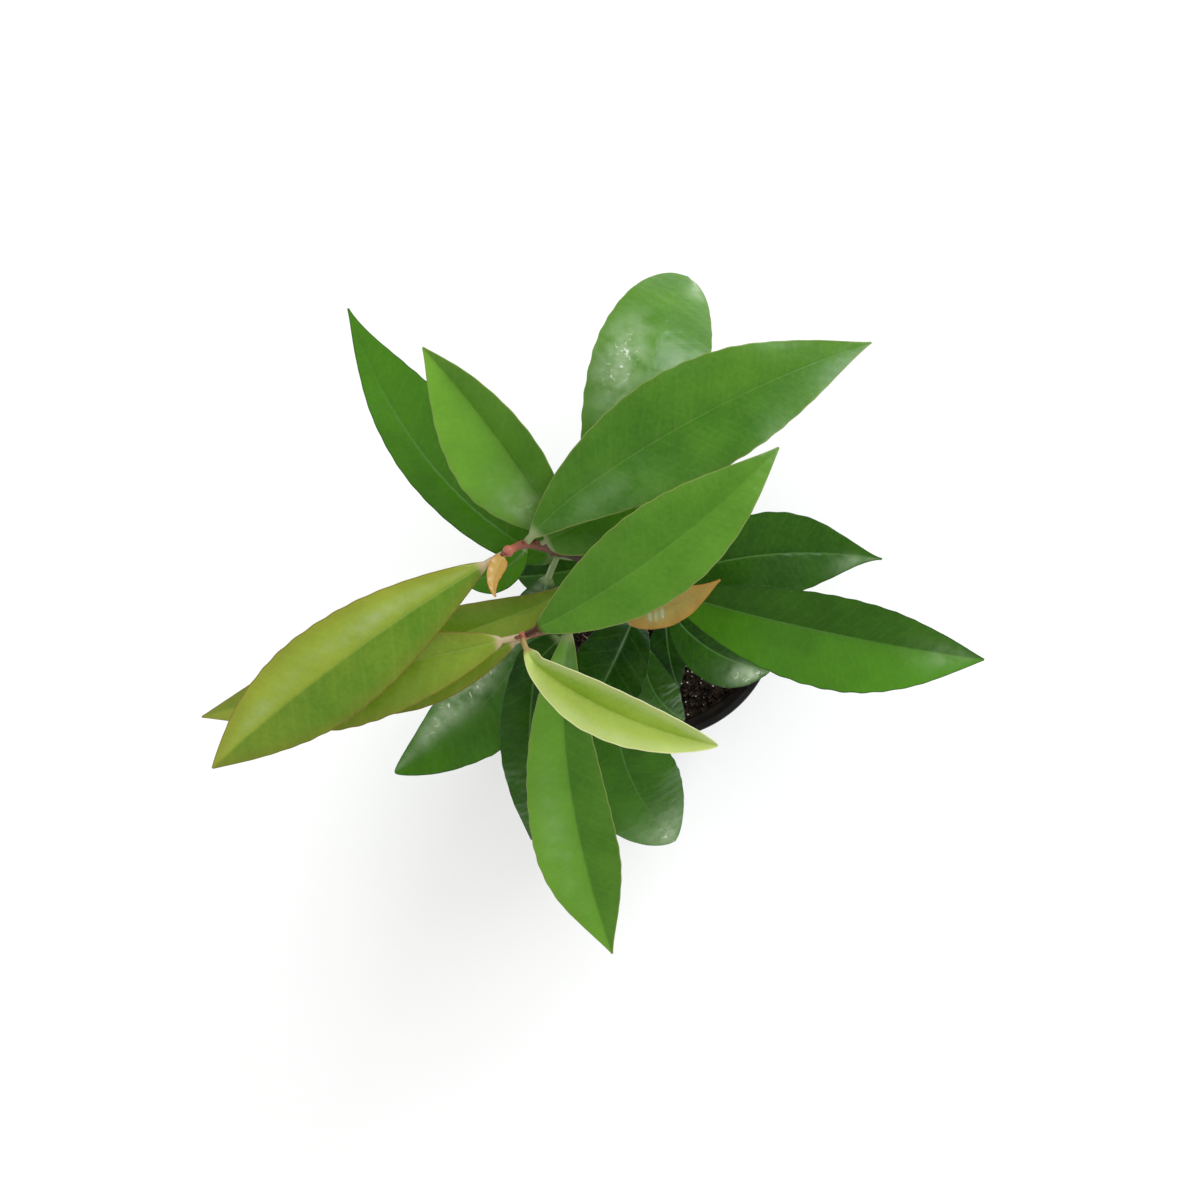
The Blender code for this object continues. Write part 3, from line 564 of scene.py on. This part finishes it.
def leaf_rings(leaf, look):
    """Rings of a leaf from foot to tip, over the top from right to left and back underneath, with their values.

    In the stalk a ring is round. In the blade its half width rises as a sine from the foot to the widest place
    and falls as a sine from there to the tip, each raised to a power of its own, with small scallops. Each half
    leaves the midrib at its fold angle and bends on by the curl, and the edge waves up and down. The blade
    bulges between slanting side veins and is puckered by crossed sines. The midrib is a groove on top and a
    rounded rib below.
    """
    stalk_radius = STALK_RADIUS + STALK_RADIUS_PER_WIDTH * leaf.width
    even = np.linspace(0.0, 1.0, BLADE_STATIONS + 1)
    blade_share = 0.45 * even + 0.55 * (1 - np.cos(math.pi * even)) / 2

    def shares(span):
        stalk_end = leaf.stalk / span
        stalk = np.linspace(0.0, stalk_end, STALK_STATIONS, endpoint=False)
        return np.concatenate([stalk, stalk_end + (1 - stalk_end) * blade_share])

    line, span = midrib(leaf, stalk_radius, shares)
    along = unit(np.gradient(line, axis=0))
    side = unit(np.cross(UP, along))
    top = np.cross(along, side)

    s = np.concatenate([np.zeros(STALK_STATIONS), blade_share])[:, None]
    down = (shares(span) * span)[:, None]
    half_columns = np.asarray(BLADE_COLUMNS)
    u = np.concatenate([-half_columns[:0:-1], half_columns])[None, :]
    rising = np.clip(s / leaf.widest, 0.0, 1.0)
    falling = np.clip((1 - s) / (1 - leaf.widest), 0.0, 1.0)
    outline = np.sin(math.pi / 2 * rising) ** leaf.full * np.sin(math.pi / 2 * falling) ** leaf.point
    hand = np.where(u < 0, -1.0, 1.0)
    scallop = 1 + EDGE_SCALLOP * np.sin(2 * math.pi * down / EDGE_SCALLOP_LENGTH + hand) * np.sin(math.pi * s)
    share = np.where(u > 0, leaf.left_share, 1 - leaf.left_share)
    half = stalk_radius * (1 - s) + TIP_HALF_WIDTH * s + leaf.width * share * outline * scallop
    reach = np.abs(u) * half

    spread = np.clip(s / 0.10, 0.0, 1.0)
    spread = spread * spread * (3 - 2 * spread)
    bend = np.radians(leaf.fold + hand * leaf.roll + 0.5 * leaf.curl * np.abs(u)) * spread
    wave = leaf.wave * u ** 2 * np.sin(2 * math.pi * WAVES_PER_LEAF * s + 1.7 * hand) * np.sin(math.pi * s)
    out = hand * reach * np.cos(bend)
    calm = spread * np.sin(math.pi * np.clip(s, 0.0, 1.0)) ** 0.5
    veins = (down - VEIN_LEAN * reach) / VEIN_SPACING
    quilt = VEIN_RELIEF * np.cos(2 * math.pi * (veins - 0.5)) * np.minimum(1.0, 4 * (1 - np.abs(u))) * np.minimum(1, reach)
    lumps = (np.sin(0.93 * down + 0.61 * hand * reach) * np.cos(0.42 * down - 0.88 * hand * reach + 1.0)
             + 0.6 * np.sin(1.7 * down - 1.1 * hand * reach + 2.0) * np.cos(1.3 * hand * reach + 0.5 * down))
    rise = reach * np.sin(bend) + wave + calm * (quilt + look.pucker * lumps * np.minimum(1.0, 0.4 * reach))

    slope = np.radians(leaf.fold + hand * leaf.roll + leaf.curl * np.abs(u)) * spread * np.minimum(1, 3 * reach)
    roundness = np.sqrt(np.clip(1 - u ** 2, 0.0, 1.0))
    near_rib = np.exp(-(reach / RIB_HALF_WIDTH) ** 2)
    skin = spread * BLADE_HALF_THICKNESS * (1 - 0.4 * np.abs(u))
    upper = (1 - spread) * stalk_radius * roundness + skin - spread * GROOVE_DEPTH * (1 - s) * near_rib
    lower = (1 - spread) * stalk_radius * roundness + skin + spread * RIB_DEPTH * (1 - s) * near_rib

    def face(offset):
        sideways = out - hand * offset * np.sin(slope)
        lift = rise + offset * np.cos(slope)
        return line[:, None] + sideways[..., None] * side[:, None] + lift[..., None] * top[:, None]

    over, under = face(upper), face(-lower)
    thin = 0.6 * BLADE_HALF_THICKNESS
    left = 0.5 * (over[:, -1:] + under[:, -1:]) + thin * side[:, None]
    right = 0.5 * (over[:, :1] + under[:, :1]) - thin * side[:, None]
    rings = np.concatenate([over, left, under[:, ::-1], right], axis=1)

    def ringed(grid):
        return np.concatenate([grid, grid[:, -1:], grid[:, ::-1], grid[:, :1]], axis=1)

    place = np.stack([ringed(hand * reach), ringed(np.broadcast_to(down, reach.shape)),
                      ringed((1 - np.abs(u)) * half)], axis=-1)
    # painted light: each half's tone from shaded to sunlit, and painted shade at the foot that lightens towards the
    # tip by the gain
    to_left = 0.5 + 0.5 * np.tanh(hand * reach / 0.5)
    tone = look.right + (look.left - look.right) * to_left + look.gain * (s - 0.5)
    # painted sheen: whitish patches from the leaf's list, standing for light mirrored in the wax
    painted_sheen_amount = np.zeros_like(tone)
    for share_along, share_across, reach_along, reach_across, strength in look.films:
        painted_sheen_amount += strength * np.exp(-((s - share_along) / reach_along) ** 2 - ((u - share_across) / reach_across) ** 2)
    stalk = look.stalk * np.broadcast_to(1 - np.clip(s / 0.035, 0.0, 1.0), tone.shape)
    tint = np.stack([ringed(tone), ringed(painted_sheen_amount), ringed(stalk)], axis=-1)
    columns = u.shape[1]
    kinds = np.concatenate([np.zeros(columns), np.ones(columns + 1), np.zeros(1)]).astype(int)
    return rings, place.reshape(-1, 3), tint.reshape(-1, 3), kinds


def add_leaf(name, leaf, skins):
    rings, place, tint, kinds = leaf_rings(leaf, LOOKS[name])
    add_piece(f"ardisia_leaf_{name}", [rings], skins[leaf.colour],
              {"place": place, "tint": tint}, kinds, (f"leaf_{name}",))


def add_stem(name, stem, skin):
    """A stem's tube with a ring at each old leaf scar, and a small bud in the angle of each leaf."""
    dense, dense_radius = stem_line(stem)
    length = np.concatenate([[0.0], np.cumsum(np.linalg.norm(np.diff(dense, axis=0), axis=1))])
    shares = 1 - (1 - np.linspace(0.0, 1.0, STEM_STATIONS)) ** 1.25
    line = evenly_spaced(dense, shares)
    run = shares * length[-1]
    radius = np.interp(run, length, dense_radius)
    scar = np.zeros_like(run)
    feet = [leaf.foot for leaf in LEAVES.values() if leaf.stem == name]
    for height in list(np.arange(SOIL_LEVEL + SCAR_SPACING, min(feet), SCAR_SPACING)) + feet:
        scar = np.maximum(scar, np.exp(-((line[:, 2] - height) / SCAR_HALF_LENGTH) ** 2))
    growth = 0.97 + 0.02 * np.sin(0.55 * run) + 0.01 * np.sin(1.3 * run + 1.0)
    radius = np.maximum(radius * growth + SCAR_HEIGHT * scar, 0.02)
    rings = [carried(line, radius[:, None], STEM_SIDES)]
    ages = [np.repeat(shares, STEM_SIDES)]
    for key, leaf in LEAVES.items():
        if leaf.stem == name:
            bud, age = axil_bud(stem, leaf)
            rings.append(bud)
            ages.append(age)
    add_piece(f"ardisia_stem_{name}", rings, [skin], {"age": np.concatenate(ages)}, None,
              (f"stem_{name}",))


def axil_bud(stem, leaf):
    """A small pointed bud that leans out of the angle between stem and stalk, with its age value."""
    middle, along, radius = stem_at(stem, leaf.foot + 1.5)
    towards = np.array(leaf.middle, dtype=float) - middle
    outward = unit(towards - along * towards.dot(along))
    t = np.linspace(0.0, 1.0, 9)[:, None]
    line = middle + outward * (radius - 0.4) + along * 0.3 + (0.75 * along + 0.65 * outward) * 1.9 * t
    thick = 0.7 * np.sqrt(np.clip(np.sin(math.pi * (0.12 + 0.88 * t)), 0.0, 1.0))
    rings = carried(line, np.maximum(thick, 0.01), 10, np.cross(along, outward))
    return rings, np.full(rings.shape[0] * rings.shape[1], 0.9)


def soil_relief(x, y):
    """Height of the peat's lumps: the solid's three crossed sine waves and two finer ones."""
    coarse = np.sin(0.23 * x + 0.9) * np.cos(0.19 * y - 0.4)
    middle = np.sin(0.51 * x - 0.37 * y + 1.3)
    fine = np.cos(0.83 * x + 0.71 * y) * np.sin(0.64 * y - 0.92 * x)
    finer = np.sin(1.9 * x + 0.8 * y) * np.cos(2.3 * y - 1.1 * x) + 0.6 * np.sin(3.7 * x - 2.9 * y)
    return SOIL_CRUMB * (0.9 * coarse + 0.6 * middle + 0.5 * fine + 0.22 * finer)


def pot_wall_radius(height, inset):
    """Radius of the tapered wall's outer face at a height, less an inset."""
    top = POT_RIM_RADIUS - POT_RIM_STEP
    return POT_BASE_RADIUS + (top - POT_BASE_RADIUS) * height / POT_HEIGHT - inset


def add_soil(skin):
    """Rings of peat from the middle out to the wall, down the wall and back under to the middle."""
    edge = pot_wall_radius(SOIL_LEVEL, POT_WALL + 0.05)
    floor = POT_FLOOR + SEAT_GAP
    turn = np.arange(SOIL_SIDES) * -2 * math.pi / SOIL_SIDES
    share = np.linspace(0.0005, 1.0, SOIL_RINGS)[:, None]
    x, y = edge * share * np.cos(turn), edge * share * np.sin(turn)
    height = SOIL_LEVEL + (1 - 0.75 * share ** 6) * soil_relief(x, y)
    top = np.stack([x, y, height], axis=-1)
    foot = pot_wall_radius(POT_FLOOR, POT_WALL + 3.0)
    rings = [np.stack([r * np.cos(turn), r * np.sin(turn), np.full(SOIL_SIDES, floor)], axis=-1)
             for r in (foot, 0.02)]
    add_piece("peat_mix", [np.concatenate([top, np.array(rings)])], [skin], None, None, ("soil",))


def bits(rng, count, size_low, size_high, flatness, inner=3.0):
    """Loose bits on the peat: lumpy rings of random size and turn, sunk a third of their height."""
    reach = pot_wall_radius(SOIL_LEVEL, POT_WALL) - 1.5
    turn, radius = rng.uniform(0, 2 * math.pi, count), np.sqrt(rng.uniform(inner ** 2 / reach ** 2, 1, count)) * reach
    x, y = radius * np.cos(turn), radius * np.sin(turn)
    share = radius / pot_wall_radius(SOIL_LEVEL, POT_WALL)
    z = SOIL_LEVEL + (1 - 0.75 * share ** 6) * soil_relief(x, y)
    size = rng.uniform(size_low, size_high, count)
    spin, lean = rng.uniform(0, 2 * math.pi, count), rng.uniform(-0.5, 0.5, count)
    steps = np.linspace(0, math.pi, 5)
    ring = np.arange(6) * -2 * math.pi / 6
    shapes = []
    for k in range(count):
        lumps = rng.uniform(0.75, 1.15, (5, 6))
        flat = np.maximum(np.sin(steps), 0.03)[:, None] * lumps
        local = np.stack([flat * np.cos(ring) * size[k], flat * np.sin(ring) * size[k] * rng.uniform(0.5, 0.9),
                          np.broadcast_to(np.cos(steps)[:, None] * size[k] * flatness, flat.shape)], axis=-1)
        c, s, t = math.cos(spin[k]), math.sin(spin[k]), lean[k]
        level = local[..., 2] + t * local[..., 0]
        shapes.append(np.stack([x[k] + c * local[..., 0] - s * local[..., 1],
                                y[k] + s * local[..., 0] + c * local[..., 1],
                                z[k] + 0.3 * size[k] * flatness + level], axis=-1))
    return shapes


def rootlets(rng, count):
    """Pale thin roots that wander over the peat, each a thin tube on a curve of three sines."""
    reach = pot_wall_radius(SOIL_LEVEL, POT_WALL) - 6.0
    shapes = []
    for _ in range(count):
        turn, radius = rng.uniform(0, 2 * math.pi), reach * math.sqrt(rng.uniform(0.1, 0.8))
        heading, length, bow = rng.uniform(0, 2 * math.pi), rng.uniform(8, 20), rng.uniform(-0.09, 0.09, 3)
        t = np.linspace(-0.5, 0.5, 40) * length
        sideways = bow[0] * t ** 2 * 0.5 + 6 * bow[1] * np.sin(0.7 * t) + 5 * bow[2] * np.sin(1.3 * t + 1)
        x = radius * math.cos(turn) + t * math.cos(heading) - sideways * math.sin(heading)
        y = radius * math.sin(turn) + t * math.sin(heading) + sideways * math.cos(heading)
        shrink = np.minimum(1.0, reach / np.maximum(np.hypot(x, y), 1.0))
        x, y = x * shrink, y * shrink
        z = SOIL_LEVEL + soil_relief(x, y) + 0.25 + 0.25 * np.sin(0.9 * t)
        thick = rng.uniform(0.16, 0.30) * np.sqrt(np.clip(1 - (2 * t / length) ** 2, 0.02, 1.0))
        shapes.append(carried(np.stack([x, y, z], axis=1), thick[:, None], 7, (0.0, 0.0, 1.0)))
    return shapes


def arc(centre, radius, start, stop, steps):
    """Points of an arc in the pot's section, between two angles in degrees."""
    turn = np.radians(np.linspace(start, stop, steps))
    return [(centre[0] + radius * math.cos(a), centre[1] + radius * math.sin(a)) for a in turn]


def add_pot(skin):
    """The pot's section, with rounded edges, run round the axis, and the drain holes cut through its floor."""
    band_foot = POT_HEIGHT - POT_RIM_BAND
    rim, small = POT_RIM_RADIUS, POT_RIM_ROUND
    inner_rim = pot_wall_radius(POT_HEIGHT, POT_WALL)
    section = [(0.02, 0.0), (20.0, 0.0)]
    section += arc((POT_BASE_RADIUS - POT_FOOT_ROUND, POT_FOOT_ROUND), POT_FOOT_ROUND, -90, -8, 6)
    section += [(pot_wall_radius(h, 0), h) for h in (12.0, 30.0, 50.0, 70.0, band_foot - 0.5)]
    section += [(pot_wall_radius(band_foot, -0.3), band_foot)]
    section += arc((rim - small, band_foot + small), small, -90, 0, 5)
    section += arc((rim - 2 * small, POT_HEIGHT - 2 * small), 2 * small, 0, 90, 7)
    section += arc((inner_rim + small, POT_HEIGHT - small), small, 90, 180, 5)
    section += [(pot_wall_radius(h, POT_WALL), h) for h in (90.0, 84.0, 78.0, 60.0, 30.0, 8.0)]
    section += [(pot_wall_radius(POT_FLOOR, POT_WALL + 1.0), POT_FLOOR + 1.0),
                (pot_wall_radius(POT_FLOOR, POT_WALL + 2.5), POT_FLOOR), (0.02, POT_FLOOR)]
    section = np.array(section)
    turn = np.arange(POT_SIDES) * 2 * math.pi / POT_SIDES
    rings = np.stack([section[:, :1] * np.cos(turn), section[:, :1] * np.sin(turn),
                      np.broadcast_to(section[:, 1:], (len(section), POT_SIDES))], axis=-1)
    inside = np.arange(len(section)) > len(section) - 12
    near = np.clip(1 - np.abs(section[:, 1] - SOIL_LEVEL - 3) / 9.0, 0.15, 1.0)
    dust = np.where(inside, near, 0.06)
    pot = add_piece("nursery_pot", [rings[:, ::-1]], [skin], {"dust": np.repeat(dust, POT_SIDES)}, None,
                    ("pot",))
    drills = []
    for k in range(DRAIN_HOLES):
        angle = 2 * math.pi * (k + 0.5) / DRAIN_HOLES
        centre = DRAIN_CIRCLE * MM * np.array([math.cos(angle), math.sin(angle)])
        bpy.ops.mesh.primitive_cylinder_add(vertices=32, radius=DRAIN_RADIUS * MM, depth=8 * MM,
                                            location=(centre[0], centre[1], 0))
        drills.append(bpy.context.object)
        cut = pot.modifiers.new("drain", "BOOLEAN")
        cut.operation = "DIFFERENCE"
        cut.solver = "EXACT"
        cut.object = drills[-1]
    pot.data = bpy.data.meshes.new_from_object(pot.evaluated_get(bpy.context.evaluated_depsgraph_get()))
    pot.modifiers.clear()
    pot.data.set_sharp_from_angle(angle=math.radians(50))
    for drill in drills:
        bpy.data.objects.remove(drill, do_unlink=True)


def add_floor():
    """A wide pale floor of matt card."""
    bpy.ops.mesh.primitive_plane_add(size=6.0)
    floor = bpy.context.object
    floor.name = "floor"
    material, tree, shader = plain_material("pale_card", 0.9, 0.1)
    shader.inputs["Base Color"].default_value = linear("#fbfbfa")
    floor.data.materials.append(material)


def add_area(name, place, aim, size, power, colour):
    """A soft square light at a place in metres, turned to a point."""
    light = bpy.data.lights.new(name, "AREA")
    light.size = size
    light.energy = power
    light.color = colour
    lamp = bpy.data.objects.new(name, light)
    bpy.context.scene.collection.objects.link(lamp)
    away = np.asarray(place, dtype=float) - np.asarray(aim, dtype=float)
    level = math.hypot(away[0], away[1])
    lamp.location = place
    lamp.rotation_euler = (math.atan2(level, away[2]), 0.0, math.atan2(away[0], -away[1]))


def add_lights():
    """Soft studio light: an even white surround that waxy leaves barely mirror, and one wide cool window."""
    world = bpy.context.scene.world or bpy.data.worlds.new("studio")
    bpy.context.scene.world = world
    world.use_nodes = True
    tree = world.node_tree
    background = tree.nodes["Background"]
    background.inputs["Color"].default_value = (1.0, 1.0, 1.0, 1.0)
    mirrored = add_node(tree, "ShaderNodeLightPath").outputs["Is Glossy Ray"]
    tree.links.new(maths(tree, "MULTIPLY_ADD", mirrored, -0.8 * SURROUND, SURROUND), background.inputs["Strength"])
    add_area("window", (1.0, 1.5, 1.15), (-0.02, 0.0, 0.2), 1.0, WINDOW_POWER, (0.92, 0.97, 1.0))
    bpy.context.scene.view_settings.view_transform = "Standard"


def add_camera():
    camera = bpy.data.cameras.new("camera")
    camera.lens = CAMERA_LENS
    camera.sensor_width = CAMERA_SENSOR
    holder = bpy.data.objects.new("camera", camera)
    holder.location = [c * MM for c in CAMERA_PLACE]
    bpy.context.scene.collection.objects.link(holder)
    bpy.context.scene.camera = holder


def main():
    add_camera()
    add_lights()
    add_floor()
    add_pot(pot_skin())
    add_soil(peat_skin())
    rng = np.random.default_rng(SEED)
    add_piece("peat_crumbs", bits(rng, CRUMBS, 0.5, 1.5, 0.7),
              [speckled_skin("peat_crumb", "#0f0904", "#3e2c1e", 1.5, 0.95)])
    add_piece("bark_chips", bits(rng, CHIPS, 1.5, 3.6, 0.25),
              [speckled_skin("bark_chip", "#33221a", "#6a4c38", 1.2, 0.85)])
    add_piece("white_grains", bits(rng, GRAINS, 0.25, 0.65, 0.8),
              [speckled_skin("perlite", "#b9b4aa", "#efece6", 0.8, 0.85)])
    add_piece("rootlets", rootlets(rng, ROOTLETS),
              [speckled_skin("rootlet", "#8a7558", "#c2ad8a", 2.0, 0.7)])
    barks = {name: stem_skin(name, bark) for name, bark in BARKS.items()}
    for name, stem in STEMS.items():
        add_stem(name, stem, barks[stem.skin])
    skins = {name: [leaf_skin(name, skin), leaf_underside(name, skin)] for name, skin in SKINS.items()}
    for name, leaf in LEAVES.items():
        add_leaf(name, leaf, skins)


main()
